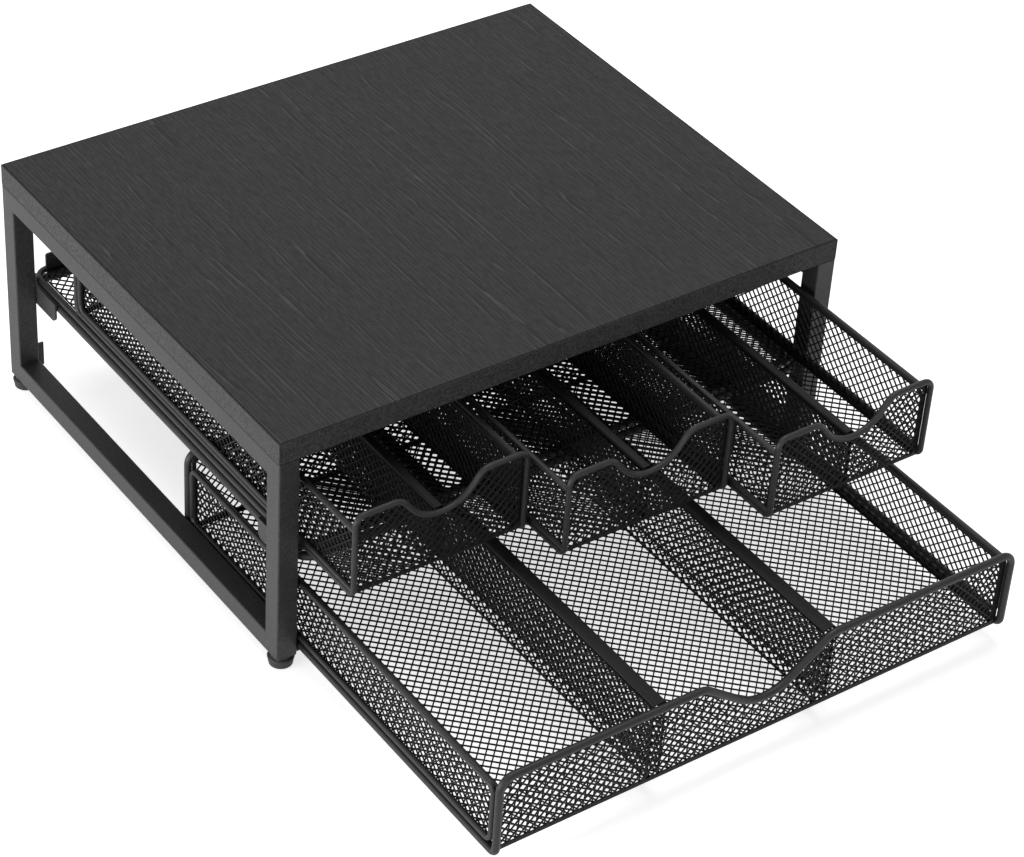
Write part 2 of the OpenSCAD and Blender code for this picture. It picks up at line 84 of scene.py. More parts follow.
camera = bpy.data.objects.new("camera", bpy.data.cameras.new("camera"))
bpy.context.scene.collection.objects.link(camera)
camera.data.sensor_width = 36
camera.data.lens = 111.95
camera.data.clip_end = 20
camera.matrix_world = aim(place=Vector((-0.8883, -1.1791, 1.1902)),
                          azimuth=37.233, elevation=37.522, roll=3.935)
bpy.context.scene.camera = camera
bpy.context.scene.view_settings.view_transform = "Standard"
print("lens", camera.data.lens, "at", [round(v, 3) for v in camera.location])

# %% [markdown]
# ## Helpers for materials
# Colours are written as sRGB hex, the way a paint chart gives them, and one function
# turns them linear. One more function adds a shader node with its settings and links, so
# that every material below reads as a short list of what feeds what.

# %% Colour and shader helpers
def linear(hex_colour):
    """An sRGB hex colour as linear RGBA."""
    out = []
    for i in (1, 3, 5):
        c = int(hex_colour[i:i + 2], 16) / 255
        out.append(c / 12.92 if c <= 0.04045 else ((c + 0.055) / 1.055) ** 2.4)
    return (*out, 1)


def add(tree, kind, values=None, **settings):
    """A node of that kind, with its settings, and its inputs set or linked by name."""
    n = tree.nodes.new(kind)
    for key, value in settings.items():
        setattr(n, key, value)
    for key, value in (values or {}).items():
        if isinstance(value, bpy.types.NodeSocket):
            tree.links.new(value, n.inputs[key])
        else:
            n.inputs[key].default_value = value
    return n


def new_material(name, values):
    """A material: its tree, its shader with those values, and object coordinates."""
    material = bpy.data.materials.new(name)
    material.use_nodes = True
    tree = material.node_tree
    tree.nodes.clear()
    shader = add(tree, "ShaderNodeBsdfPrincipled", values)
    add(tree, "ShaderNodeOutputMaterial", {"Surface": shader.outputs[0]})
    place = add(tree, "ShaderNodeTexCoord").outputs["Object"]
    return material, tree, shader, place


print("black", [round(c, 4) for c in linear("#0c0c0c")])

# %% [markdown]
# ## Powder coat
# The steel is sprayed with a dry polyester powder and baked. This one is a fine-texture
# black: the skin sets with a grit of about half a millimetre, which scatters a highlight
# into a soft sheen. The grit is drawn coarser, 1.1 to 1.3 mm, so that it still shows from
# a metre away. One noise in real millimetres drives the bump and flecks the colour, and a
# slow one lets the coat drift a little lighter and darker, as a hand-held gun leaves it.

# %% Powder coat material
DRIFT_SCALE = 18.0   # the slow noise has a patch every 55 mm


def powder_coat(name, colours, roughness, grit_mm, height_mm, specular):
    """Fine-texture black polyester powder over steel, with grit of that size."""
    material, tree, shader, place = new_material(
        name, {"IOR": 1.5, "Specular IOR Level": specular, "Metallic": 0.0})
    grit = add(tree, "ShaderNodeTexNoise",
               {"Vector": place, "Scale": 1 / (grit_mm * MM), "Detail": 2.0})
    drift = add(tree, "ShaderNodeTexNoise",
                {"Vector": place, "Scale": DRIFT_SCALE, "Detail": 2.0})
    fleck = add(tree, "ShaderNodeMapRange", {"Value": grit.outputs["Fac"], "From Min": 0.3,
                                             "From Max": 0.7, "To Min": 0.1, "To Max": 0.75})
    blend = add(tree, "ShaderNodeMath", {0: drift.outputs["Fac"], 1: 0.3,
                                         2: fleck.outputs["Result"]}, operation="MULTIPLY_ADD")
    tone = add(tree, "ShaderNodeMix", {"Factor": blend.outputs[0],
                                       "A": linear(colours[0]), "B": linear(colours[1])},
               data_type="RGBA")
    gloss = add(tree, "ShaderNodeMapRange",
                {"Value": drift.outputs["Fac"], "From Min": 0.3, "From Max": 0.7,
                 "To Min": roughness - 0.04, "To Max": roughness + 0.05})
    bump = add(tree, "ShaderNodeBump", {"Height": grit.outputs["Fac"], "Strength": 0.4,
                                        "Distance": height_mm * MM})
    tree.links.new(tone.outputs["Result"], shader.inputs["Base Color"])
    tree.links.new(gloss.outputs["Result"], shader.inputs["Roughness"])
    tree.links.new(bump.outputs["Normal"], shader.inputs["Normal"])
    return material


tube_coat = powder_coat("powder_coat_tube", ("#0a0a0a", "#353535"), 0.5, 1.3, 0.12, 0.38)
wire_coat = powder_coat("powder_coat_wire", ("#0e0e0e", "#292929"), 0.45, 1.1, 0.04, 0.32)
mesh_coat = powder_coat("powder_coat_mesh", ("#0e0e0e", "#1a1a1a"), 0.5, 1.1, 0.02, 0.15)
print("coats", tube_coat.name, wire_coat.name, mesh_coat.name)

# %% [markdown]
# ## The board's laminate
# The board is particle board under a melamine film. A press plate has embossed a wood
# grain in it: thin wavy pores from front to back, alone or in bundles, on a ground with a
# fine sandy touch. Even stripes, 3.2 mm apart, are pushed about by a stretched noise. Where
# the sum passes a whole step there is a pore, which gives long lines that swing together,
# bunch and part, but never cross, as grain does. One flank of a pore gets a painted
# highlight and the other a painted shade, as a low lamp would show it. A second noise lets
# the pores come and go.
# The band round the edges is the same film without grain. Its sandy touch is so like the
# texture of the powder coat that the coat's function makes it, with less gloss.

# %% Laminate material
STRIPE = 3.2 * MM       # from pore to pore, before the noise moves them
FIRST_STRIPE = 200.0    # keeps the count of stripes above zero on the whole board
WAVE = 12 * MM          # the noise that moves the pores, across the grain
WAVE_STRETCH = 0.04     # its scale along the grain, so that it is 25 times as long
FIBRE_STRETCH = 0.2     # the same for the fibres between the pores, 5 times as long
SWING = 4.8             # how many stripes that noise moves a pore
SWAY = 6 * MM           # how far a slower noise moves all of them
SWAY_SCALE = 14.0       # that slower noise has a patch every 70 mm
PORE = 0.3              # half a pore's width, as a share of a stripe


def laminate(name, ground, sand_and_pore_highlight):
    """Black melamine film with embossed pores that run along Y."""
    material, tree, shader, place = new_material(
        name, {"IOR": 1.5, "Specular IOR Level": 0.24, "Roughness": 0.55})
    slow = add(tree, "ShaderNodeTexNoise",
               {"Vector": place, "Scale": SWAY_SCALE, "Detail": 2.0})
    push = add(tree, "ShaderNodeVectorMath",
               {0: slow.outputs["Color"], 1: (SWAY, 0.0, 0.0)}, operation="MULTIPLY")
    bent = add(tree, "ShaderNodeVectorMath", {0: place, 1: push.outputs[0]})
    grain = add(tree, "ShaderNodeMapping",
                {"Vector": bent.outputs[0], "Scale": (1.0, WAVE_STRETCH, 1.0)})
    wave = add(tree, "ShaderNodeTexNoise", {"Vector": grain.outputs[0], "Scale": 1 / WAVE,
                                            "Detail": 2.0, "Roughness": 0.55})
    across = add(tree, "ShaderNodeSeparateXYZ", {"Vector": place})
    even = add(tree, "ShaderNodeMath", {0: across.outputs["X"], 1: 1 / STRIPE,
                                        2: FIRST_STRIPE}, operation="MULTIPLY_ADD")
    steps = add(tree, "ShaderNodeMath", {0: wave.outputs["Fac"], 1: SWING,
                                         2: even.outputs[0]}, operation="MULTIPLY_ADD")
    swing = add(tree, "ShaderNodeMath", {0: steps.outputs[0], 1: 0.5}, operation="PINGPONG")
    pore = add(tree, "ShaderNodeMapRange", {"Value": swing.outputs[0], "From Min": 0.0,
                                            "From Max": PORE, "To Min": 1.0, "To Max": 0.0})
    fibre = add(tree, "ShaderNodeMapping",
                {"Vector": bent.outputs[0], "Scale": (1.0, FIBRE_STRETCH, 1.0)})
    fade = add(tree, "ShaderNodeTexNoise", {"Vector": fibre.outputs[0],
                                            "Scale": 1 / (6 * MM), "Detail": 2.0})
    shown = add(tree, "ShaderNodeMapRange", {"Value": fade.outputs["Fac"], "From Min": 0.38,
                                             "From Max": 0.64, "To Min": 0.1, "To Max": 1.0})
    line = add(tree, "ShaderNodeMath", {0: pore.outputs["Result"], 1: shown.outputs["Result"]},
               operation="MULTIPLY")
    sand = add(tree, "ShaderNodeTexNoise", {"Vector": place, "Scale": 1 / (1.0 * MM),
                                            "Detail": 2.0})
    short = add(tree, "ShaderNodeTexNoise", {"Vector": fibre.outputs[0],
                                             "Scale": 1 / (1.4 * MM), "Detail": 1.0})
    touch = add(tree, "ShaderNodeMath", {0: sand.outputs["Fac"], 1: short.outputs["Fac"]})
    mottle = add(tree, "ShaderNodeMapRange",
                 {"Value": touch.outputs[0], "From Min": 0.7, "From Max": 1.3,
                  "To Min": -0.08, "To Max": 0.42})
    # Painted highlight and shade: one flank of each pore is coloured lighter and the other
    # darker, as a low lamp would light it.
    saw = add(tree, "ShaderNodeMath", {0: steps.outputs[0], 1: 1.0}, operation="MODULO")
    flank = add(tree, "ShaderNodeMath", {0: saw.outputs[0], 1: 0.45}, operation="SUBTRACT")
    pair = add(tree, "ShaderNodeMath", {0: line.outputs[0], 1: flank.outputs[0]},
               operation="MULTIPLY")
    level = add(tree, "ShaderNodeMath",
                {0: pair.outputs[0], 1: 1.9, 2: mottle.outputs["Result"]},
                operation="MULTIPLY_ADD")
    # The lighter colour is reached by the sandy touch and by the painted highlight on the
    # pores.
    tone = add(tree, "ShaderNodeMix", {"Factor": level.outputs[0], "A": linear(ground),
                                       "B": linear(sand_and_pore_highlight)}, data_type="RGBA",
               clamp_factor=False)
    relief = add(tree, "ShaderNodeMath", {0: line.outputs[0], 1: 1.0, 2: touch.outputs[0]},
                 operation="MULTIPLY_ADD")
    bump = add(tree, "ShaderNodeBump", {"Height": relief.outputs[0], "Strength": 0.5,
                                        "Distance": 0.12 * MM})
    tree.links.new(tone.outputs["Result"], shader.inputs["Base Color"])
    tree.links.new(bump.outputs["Normal"], shader.inputs["Normal"])
    return material


# The second colour is the lighter end of the sandy touch and of the painted pore highlight.
board_film = laminate("melamine_wood_grain", "#0c0c0c", "#404040")
edge_film = powder_coat("melamine_edge_band", ("#0c0c0c", "#4f4f4f"), 0.55, 1.2, 0.08, 0.12)
print("films", board_film.name, edge_film.name)

# %% [markdown]
# ## Rubber and screws
# The feet are moulded rubber: nearly without gloss, with a fine matt grain from the
# mould. The screws are black oxide steel, a metal under a thin dark layer.

# %% Rubber and black oxide materials
def moulded_rubber(name):
    """Matt black rubber, with the fine grain of its mould."""
    material, tree, shader, place = new_material(name, {"IOR": 1.52, "Roughness": 0.72})
    grain = add(tree, "ShaderNodeTexNoise", {"Vector": place, "Scale": 1 / (0.5 * MM)})
    tone = add(tree, "ShaderNodeMix", {"Factor": grain.outputs["Fac"],
                                       "A": linear("#161616"), "B": linear("#1f1f1f")},
               data_type="RGBA")
    bump = add(tree, "ShaderNodeBump", {"Height": grain.outputs["Fac"], "Strength": 0.4,
                                        "Distance": 0.05 * MM})
    tree.links.new(tone.outputs["Result"], shader.inputs["Base Color"])
    tree.links.new(bump.outputs["Normal"], shader.inputs["Normal"])
    return material


def black_oxide(name):
    """Steel under a thin black oxide, a little lighter where it has worn."""
    material, tree, shader, place = new_material(name, {"Metallic": 1.0})
    wear = add(tree, "ShaderNodeTexNoise",  # a patch every 1.1 mm
               {"Vector": place, "Scale": 900.0, "Detail": 3.0})
    tone = add(tree, "ShaderNodeMix", {"Factor": wear.outputs["Fac"],
                                       "A": linear("#3a3a3d"), "B": linear("#56565a")},
               data_type="RGBA")
    rough = add(tree, "ShaderNodeMapRange", {"Value": wear.outputs["Fac"],
                                             "To Min": 0.3, "To Max": 0.5})
    tree.links.new(tone.outputs["Result"], shader.inputs["Base Color"])
    tree.links.new(rough.outputs["Result"], shader.inputs["Roughness"])
    return material


rubber = moulded_rubber("moulded_rubber")
oxide = black_oxide("black_oxide_steel")

# %% [markdown]
# ## Finish the CAD nodes that keep their shape
# The feet, the rails, the brackets and the stop angle have their true shape in CAD, so
# they only take a better surface. The list is written out, so that no node gets one by
# chance.

# %% Materials on CAD nodes
FINISHES = {"rubber_feet": rubber,
            "left_drawer_rail": tube_coat, "right_drawer_rail": tube_coat,
            "left_front_bracket": tube_coat, "left_rear_bracket": tube_coat,
            "right_front_bracket": tube_coat, "right_rear_bracket": tube_coat,
            "shelf_stop_angle": tube_coat}
for name, material in FINISHES.items():
    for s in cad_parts[name].material_slots:
        s.material = material
print("finished", len(FINISHES), "CAD nodes")

# %% [markdown]
# ## From a tree of nodes to a plain mesh
# A Geometry Nodes tree keeps a rule, such as "sweep this wire along that path". The
# export wants plain meshes, so after the tree has run, its result replaces the mesh and
# the modifier goes. One helper turns a bmesh into a mesh, one builds an object, one runs a
# tree with its named inputs set, and one starts a new tree.

# %% Object and bake helpers
def as_mesh(bm, name):
    """The finished bmesh as a mesh of that name."""
    mesh = bpy.data.meshes.new(name)
    bm.to_mesh(mesh)
    bm.free()
    return mesh


def new_object(name, mesh, material=None):
    """An object in the scene, at the origin, with its place in its mesh."""
    obj = bpy.data.objects.new(name, mesh)
    bpy.context.scene.collection.objects.link(obj)
    if material:
        mesh.materials.append(material)
    return obj


def bake_tree(obj, tree, values):
    """Runs a node tree on an object and keeps the result as its mesh."""
    modifier = obj.modifiers.new(tree.name, "NODES")
    modifier.node_group = tree
    for item in tree.interface.items_tree:
        if item.item_type == "SOCKET" and item.in_out == "INPUT" and item.name in values:
            modifier[item.identifier] = values[item.name]
    graph = bpy.context.evaluated_depsgraph_get()
    mesh = bpy.data.meshes.new_from_object(obj.evaluated_get(graph))
    obj.modifiers.remove(modifier)
    obj.data = mesh
    return obj


def new_tree(name, inputs):
    """A geometry tree with a geometry in and out and these named inputs."""
    tree = bpy.data.node_groups.new(name, "GeometryNodeTree")
    tree.interface.new_socket("Geometry", in_out="INPUT", socket_type="NodeSocketGeometry")
    for label, kind, value in inputs:
        s = tree.interface.new_socket(label, in_out="INPUT", socket_type=kind)
        if value is not None:
            s.default_value = value
    tree.interface.new_socket("Geometry", in_out="OUTPUT", socket_type="NodeSocketGeometry")
    return tree, tree.nodes.new("NodeGroupInput")


print("helpers ready")

# %% [markdown]
# ## Welded side frames
# Each side of the stand is four lengths of square tube, welded into a ring. The welds are
# ground flush before the coat goes on, so no joint shows. A ring drawn as one outline has
# just that look, and a bevel gives the tube its small corner radius. The ring's outer
# corners stay sharp, where one tube ends flush with the next.

# %% Side frames
TUBE = 13 * MM
TUBE_CORNER = 0.9 * MM


def welded_ring(name, lo, hi):
    """A flush ring of square tube that stands in the Y-Z plane."""
    bm = bmesh.new()
    loops = []
    for x in (lo.x, hi.x):
        for d in (0.0, TUBE):
            loops.append([bm.verts.new((x, y, z)) for y, z in
                          ((lo.y + d, lo.z + d), (hi.y - d, lo.z + d),
                           (hi.y - d, hi.z - d), (lo.y + d, hi.z - d))])
    out0, in0, out1, in1 = loops
    long_edges = set()
    for a, b in ((out0, in0), (in0, in1), (in1, out1), (out1, out0)):
        for i in range(4):
            j = (i + 1) % 4
            bm.faces.new((a[i], a[j], b[j], b[i]))
    for loop in loops:
        for i in range(4):
            long_edges.add(bm.edges.get((loop[i], loop[(i + 1) % 4])))
    bmesh.ops.recalc_face_normals(bm, faces=bm.faces)
    bmesh.ops.bevel(bm, geom=list(long_edges), offset=TUBE_CORNER, segments=4,
                    affect="EDGES", profile=0.5)
    return new_object(name, as_mesh(bm, name), tube_coat)


for side in ("left", "right"):
    parts = [f"{side}_{p}" for p in ("front_post", "rear_post", "top_rail", "bottom_rail")]
    boxes = [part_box(p) for p in parts]
    lo = Vector([min(b[0][i] for b in boxes) for i in range(3)])
    hi = Vector([max(b[1][i] for b in boxes) for i in range(3)])
    ring = welded_ring(f"{side}_side_frame", lo, hi)
    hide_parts(*parts)
    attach(ring, "stand")
print("side frame", [round(v, 4) for v in hi - lo], len(ring.data.polygons), "faces")

# %% [markdown]
# ## Bent wire
# A wire starts straight and is bent over pins. So its path is given as a person would
# tell the bender: the corner points, and the radius of the pin at each. Fillet Curve
# turns the corners round, and Curve to Mesh sweeps the round section along the path.
# The finger scoop is no more than three such corners: two shoulders and a hollow.

# %% Bent wire tree
wire_tree, wire_in = new_tree("bent wire", [
    ("Diameter", "NodeSocketFloat", 0.0035),
    ("Steps per bend", "NodeSocketInt", 10),
    ("Sides", "NodeSocketInt", 16),
    ("Coat", "NodeSocketMaterial", None)])
t = wire_tree
pin = add(t, "GeometryNodeInputNamedAttribute", {"Name": "pin_radius"}, data_type="FLOAT")
path = add(t, "GeometryNodeMeshToCurve", {"Mesh": wire_in.outputs["Geometry"]})
round_path = add(t, "GeometryNodeFilletCurve",
                 {"Curve": path.outputs[0], "Count": wire_in.outputs["Steps per bend"],
                  "Radius": pin.outputs["Attribute"]}, mode="POLY")
half = add(t, "ShaderNodeMath", {0: wire_in.outputs["Diameter"], 1: 0.5}, operation="MULTIPLY")
section = add(t, "GeometryNodeCurvePrimitiveCircle",
              {"Resolution": wire_in.outputs["Sides"], "Radius": half.outputs[0]})
swept = add(t, "GeometryNodeCurveToMesh", {"Curve": round_path.outputs[0],
                                           "Profile Curve": section.outputs[0],
                                           "Fill Caps": True})
smooth = add(t, "GeometryNodeSetShadeSmooth", {"Geometry": swept.outputs[0]})
real = add(t, "GeometryNodeRealizeInstances", {"Geometry": smooth.outputs[0]})
coated = add(t, "GeometryNodeSetMaterial", {"Geometry": real.outputs[0],
                                            "Material": wire_in.outputs["Coat"]})
add(t, "NodeGroupOutput", {"Geometry": coated.outputs[0]})


def bent_wire(name, corners, diameter, steps=10, closed=True):
    """A wire through (point, pin radius) corners, endless or with two cut ends."""
    mesh = bpy.data.meshes.new(name)
    count = len(corners)
    runs = count if closed else count - 1
    mesh.from_pydata([c[0] for c in corners], [(i, (i + 1) % count) for i in range(runs)], [])
    radius = mesh.attributes.new("pin_radius", "FLOAT", "POINT")
    for i, c in enumerate(corners):
        radius.data[i].value = c[1]
    obj = new_object(name, mesh)
    bake_tree(obj, wire_tree, {"Diameter": diameter, "Steps per bend": steps,
                               "Coat": wire_coat})
    return obj


print("tree", wire_tree.name, len(wire_tree.nodes), "nodes")

# %% [markdown]
# ## The finger scoop
# The wire and the mesh behind it share one shape: level shoulders, a round shoulder bend,
# a straight flank and a round hollow. It is described once, by half its width, its depth
# and the angle of its flank, and the two radii follow from these.

# %% Scoop shape
class Scoop:
    """A dip in a level rim; cosine is that of its flank's slope."""
    HOLLOW_SHARE = 0.72  # of the two radii's sum; the shoulder has the rest

    def __init__(self, half_width, depth, cosine):
        self.half, self.depth = half_width, depth
        self.c, self.s = cosine, math.sqrt(1 - cosine * cosine)
        total = (half_width * self.s - depth * self.c) / (1 - self.c)
        self.flank = (depth * self.s - half_width * (1 - self.c)) / (1 - self.c)
        self.hollow = total * self.HOLLOW_SHARE
        self.shoulder = total * (1 - self.HOLLOW_SHARE)

    def drop(self, x):
        """How far the rim lies under its shoulders, at x from the middle."""
        x = abs(x)
        end = self.hollow * self.s
        top = end + self.flank * self.c
        if x >= self.half:
            return 0.0
        if x <= end:
            return self.depth - self.hollow + math.sqrt(self.hollow ** 2 - x * x)
        if x <= top:
            return self.depth - self.hollow * (1 - self.c) - (x - end) * self.s / self.c
        return self.shoulder - math.sqrt(self.shoulder ** 2 - (self.half - x) ** 2)

    def corners(self):
        """The three corners that the wire is bent at: (x, z under the rim, pin radius)."""
        tangent = self.shoulder * (1 - self.c) / self.s
        x = self.half - tangent
        low = self.depth + self.hollow * (1 / self.c - 1)
        return [(-x, 0.0, self.shoulder), (0.0, -low, self.hollow), (x, 0.0, self.shoulder)]


UPPER_SCOOP = Scoop(half_width=0.031, depth=0.0185, cosine=0.6)
LOWER_SCOOP = Scoop(half_width=0.047, depth=0.025, cosine=0.8)
print("upper radii", round(UPPER_SCOOP.hollow, 4), round(UPPER_SCOOP.shoulder, 4))

# %% [markdown]
# ## Perimeter wires
# Each drawer hangs in one endless wire. It is the left runner, turns up into the front
# arch with its scoop, comes down into the right runner and turns up again into the rear
# arch. The box of the CAD wire gives its outer size, and half a diameter inwards is the
# line of its middle. The sizes of the wires are kept for each drawer, in millimetres.

# %% Perimeter wires
UPPER = dict(wire=3.5, side=3.2, corner=6.0, scoop=UPPER_SCOOP)
LOWER = dict(wire=4.5, side=3.6, corner=8.0, scoop=LOWER_SCOOP)
DRAWERS = {"left_drawer": dict(UPPER), "middle_drawer": dict(UPPER),
           "right_drawer": dict(UPPER), "lower_drawer": LOWER}
FOOT_PIN = 4.5 * MM   # the pin that a runner is turned up over
WIRE_STEPS = 12       # straight pieces in a bend of a perimeter wire

for body, d in DRAWERS.items():
    lo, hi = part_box(body + "_wire")
    r = d["wire"] * MM / 2
    x0, y0, z0 = lo.x + r, lo.y + r, lo.z + r
    x1, y1, z1 = hi.x - r, hi.y - r, hi.z - r
    d.update(lo=Vector((x0, y0, z0)), hi=Vector((x1, y1, z1)), r=r)
    mid, pin = (x0 + x1) / 2, d["corner"] * MM
    scoop = [(Vector((mid + x, y0, z1 + z)), k) for x, z, k in d["scoop"].corners()]
    corners = [(Vector((x0, y0, z0)), FOOT_PIN), (Vector((x0, y0, z1)), pin), *scoop,
               (Vector((x1, y0, z1)), pin), (Vector((x1, y0, z0)), FOOT_PIN),
               (Vector((x1, y1, z0)), FOOT_PIN), (Vector((x1, y1, z1)), pin),
               (Vector((x0, y1, z1)), pin), (Vector((x0, y1, z0)), FOOT_PIN)]
    wire = bent_wire(body + "_perimeter_wire", corners, 2 * r, WIRE_STEPS)
    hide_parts(body + "_wire")
    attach(wire, body)
print("perimeter wires", {b: [round(v, 4) for v in d["hi"] - d["lo"]]
                          for b, d in DRAWERS.items()})

# %% [markdown]
# ## Side wires and shelf wires
# A thinner wire frames each side of a drawer. In the lower drawer it is a closed ring, and
# in the upper ones a hairpin that lies on the runner and is welded to the front arch. Two
# closed loops carry the shelf: a stout rod under the brackets' ledges and a wire round the
# mesh. They are the same kind of piece, so the same tree makes them. Where two wires are
# welded, they run a little way into each other.

# %% Side wires and shelf loops
SIDE_PIN = 5 * MM         # the pin that a side wire is bent over
WELD_SINK = 0.05 * MM     # how far a hairpin sinks into its runner
END_INSIDE_LEG = 0.4      # where its ends stop, in radii behind the middle of the leg


def rectangle(axis, at, lo, hi, pin):
    """Four corners of a closed rectangle on a plane of constant x or z."""
    if axis == "x":
        pts = [(at, lo[0], lo[1]), (at, lo[0], hi[1]), (at, hi[0], hi[1]), (at, hi[0], lo[1])]
    else:
        pts = [(lo[0], lo[1], at), (hi[0], lo[1], at), (hi[0], hi[1], at), (lo[0], hi[1], at)]
    return [(Vector(p), pin) for p in pts]


def wire_in_box(name, lo, hi, diameter, axis, pin):
    """A closed rectangle of wire that fills a box and is flat along that axis."""
    r = diameter / 2
    if axis == "x":
        c = rectangle("x", (lo.x + hi.x) / 2, (lo.y + r, lo.z + r), (hi.y - r, hi.z - r), pin)
    else:
        c = rectangle("z", (lo.z + hi.z) / 2, (lo.x + r, lo.y + r), (hi.x - r, hi.y - r), pin)
    return bent_wire(name, c, diameter)


def hairpin(name, lo, hi, diameter, drawer):
    """A side wire whose two front ends are welded to the leg of the front arch."""
    r, x = diameter / 2, (lo.x + hi.x) / 2
    front, rear = drawer["lo"].y + drawer["r"] * END_INSIDE_LEG, hi.y - r
    low, high = drawer["lo"].z + drawer["r"] + r - WELD_SINK, hi.z - r
    corners = [(Vector((x, front, high)), 0.0), (Vector((x, rear, high)), SIDE_PIN),
               (Vector((x, rear, low)), SIDE_PIN), (Vector((x, front, low)), 0.0)]
    return bent_wire(name, corners, diameter, closed=False)


def join(objects, name):
    """Several objects as one mesh."""
    bm = bmesh.new()
    for o in objects:
        bm.from_mesh(o.data)
    mesh = objects[0].data
    bm.to_mesh(mesh)
    bm.free()
    objects[0].name = mesh.name = name
    for o in objects[1:]:
        bpy.data.objects.remove(o)
    return objects[0]


for body, d in DRAWERS.items():
    dia, made = d["side"] * MM, {}
    if body == "lower_drawer":
        for side in ("left", "right"):
            node, name = f"{body}_{side}_wire", f"{body}_{side}_side_wire"
            made[node] = wire_in_box(name, *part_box(node), dia, "x", SIDE_PIN)
    else:
        node = body + "_side_wires"
        lo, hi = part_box(node)
        left = (lo, Vector((lo.x + dia, hi.y, hi.z)))
        right = (Vector((hi.x - dia, lo.y, lo.z)), hi)
        pair = [hairpin(body + "_side", a, b, dia, d) for a, b in (left, right)]
        made[node] = join(pair, body + "_side_wire_pair")
    for node, w in made.items():
        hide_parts(node)
        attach(w, body)

# each loop's wire and pin, in millimetres
for node, dia, pin in (("shelf_rod_frame", 5.4, 10), ("shelf_wire_rim", 4.0, 9)):
    w = wire_in_box(node + "_loop", *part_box(node), dia * MM, "z", pin * MM)
    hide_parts(node)
    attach(w, "stand")

# %% [markdown]
# ## Expanded metal
# Expanded metal is one sheet, slit and pulled open, so its strands never overlap: they
# fork and meet again in square diamonds, 6.2 mm from corner to corner. At this size
# two families of flat strands at 45 degrees give the same look with few faces. The tree
# takes the panel as a mesh: its loose edges are the strands, and its faces are the solid
# hem that stays round every panel. It sweeps the first and keeps the second.

# %% Expanded metal tree
DIAMOND = 6.2 * MM   # from corner to corner of a diamond
STRAND = 0.8 * MM    # how wide a strand is
SHEET = 0.7 * MM     # how thick the sheet is

mesh_tree, mesh_in = new_tree("expanded metal", [
    ("Strand", "NodeSocketFloat", STRAND),
    ("Sheet", "NodeSocketFloat", SHEET),
    ("Coat", "NodeSocketMaterial", None)])
t = mesh_tree
faces = add(t, "GeometryNodeInputMeshEdgeNeighbors")
loose = add(t, "FunctionNodeCompare", {2: faces.outputs[0], 3: 0},
            data_type="INT", operation="EQUAL")
parts = add(t, "GeometryNodeSeparateGeometry",
            {"Geometry": mesh_in.outputs["Geometry"], "Selection": loose.outputs[0]},
            domain="EDGE")
lines = add(t, "GeometryNodeMeshToCurve", {"Mesh": parts.outputs["Selection"]})
level = add(t, "GeometryNodeSetCurveNormal", {"Curve": lines.outputs[0]}, mode="Z_UP")
bar = add(t, "GeometryNodeCurvePrimitiveQuadrilateral",
          {"Width": mesh_in.outputs["Strand"], "Height": mesh_in.outputs["Sheet"]})
strands = add(t, "GeometryNodeCurveToMesh", {"Curve": level.outputs[0],
                                             "Profile Curve": bar.outputs[0],
                                             "Fill Caps": True})
both = add(t, "GeometryNodeJoinGeometry")
t.links.new(parts.outputs["Inverted"], both.inputs[0])
t.links.new(strands.outputs[0], both.inputs[0])
real = add(t, "GeometryNodeRealizeInstances", {"Geometry": both.outputs[0]})
coated = add(t, "GeometryNodeSetMaterial", {"Geometry": real.outputs[0],
                                            "Material": mesh_in.outputs["Coat"]})
add(t, "NodeGroupOutput", {"Geometry": coated.outputs[0]})
print("tree", mesh_tree.name, len(mesh_tree.nodes), "nodes")

# %% [markdown]
# ## Clipping the strands
# Each strand is a line at 45 degrees. It is cut where it meets the panel's outline, which
# may have a scoop in it, so one line can give two strands. The outline is moved inwards
# first, so that a strand ends in the middle of the hem and never pokes out of it.

# %% Outline and clipping helpers
OFF_CORNER = 0.013       # moves the lines off the outline's corners, in pitches
SHORTEST = 0.4 * MM      # a strand that rises less than this is left out
CORNER_STEPS = 8
SCOOP_STEPS = 24


def inset(outline, distance):
    """A counter-clockwise outline moved inwards, with mitred corners."""
    out, n = [], len(outline)
    for i in range(n):
        a, b, c = (Vector(outline[(i + k) % n]) for k in (-1, 0, 1))
        e0, e1 = (b - a).normalized(), (c - b).normalized()
        n0, n1 = Vector((-e0.y, e0.x)), Vector((-e1.y, e1.x))
        out.append(b + (n0 + n1) * (distance / max(0.35, 1 + n0.dot(n1))))
    return out


def strand_lines(outline, pitch):
    """Lines at plus and minus 45 degrees inside an outline, pitch apart along x."""
    segments = []
    n = len(outline)
    for sign in (1, -1):
        keys = [p[0] - sign * p[1] for p in outline]
        first, last = math.ceil(min(keys) / pitch), math.floor(max(keys) / pitch)
        for k in range(first, last + 1):
            c = (k + OFF_CORNER) * pitch
            hits = []
            for i in range(n):
                f0, f1 = keys[i] - c, keys[(i + 1) % n] - c
                if (f0 < 0) != (f1 < 0):
                    s = f0 / (f0 - f1)
                    y0, y1 = outline[i][1], outline[(i + 1) % n][1]
                    hits.append(y0 + s * (y1 - y0))
            hits.sort()
            for y0, y1 in zip(hits[::2], hits[1::2]):
                if y1 - y0 > SHORTEST:
                    segments.append(((c + sign * y0, y0, sign), (c + sign * y1, y1, sign)))
    return segments


